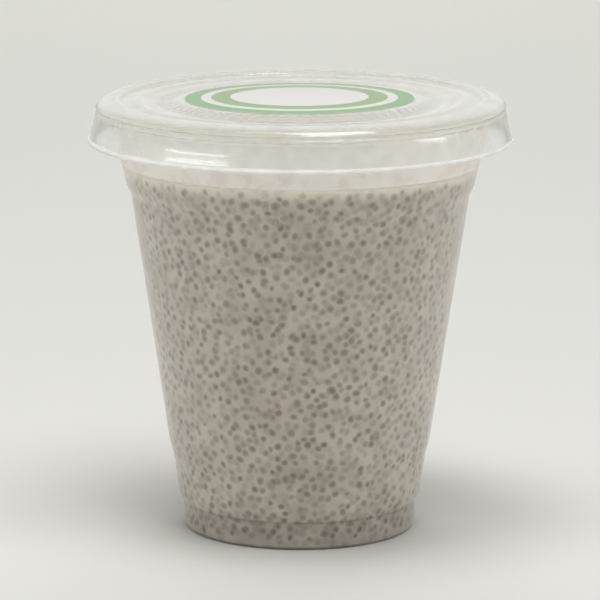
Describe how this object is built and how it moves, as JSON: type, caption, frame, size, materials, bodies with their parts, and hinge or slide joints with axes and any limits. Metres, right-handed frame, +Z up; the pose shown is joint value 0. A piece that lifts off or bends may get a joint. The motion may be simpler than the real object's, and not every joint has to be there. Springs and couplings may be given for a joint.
{
  "type": "chia pudding in a lidded clear cup",
  "caption": "Chia pudding set in a tapered clear plastic cup with a flat press-on lid and a round paper label on top.",
  "frame": {"origin": "centre of the cup's base, on the surface that the cup stands on", "axes": "+Z up along the cup's axis; the piece is round, so +X and +Y only fix where the pudding's low swells lie"},
  "size_m": [0.1024, 0.1024, 0.105],
  "materials": {
    "clear_cup": "clear thermoformed PET sheet, glossy, colourless",
    "pudding": "food: grey-beige set pudding full of small soaked seeds, moist",
    "clear_lid": "clear thermoformed PET sheet, glossy, slightly hazy",
    "label_paper": "coated paper with green rings round a bare white middle"
  },
  "bodies": {
    "root": {"cup": "clear_cup", "pudding": "pudding", "lid": "clear_lid", "label": "label_paper"}
  },
  "joints": []
}
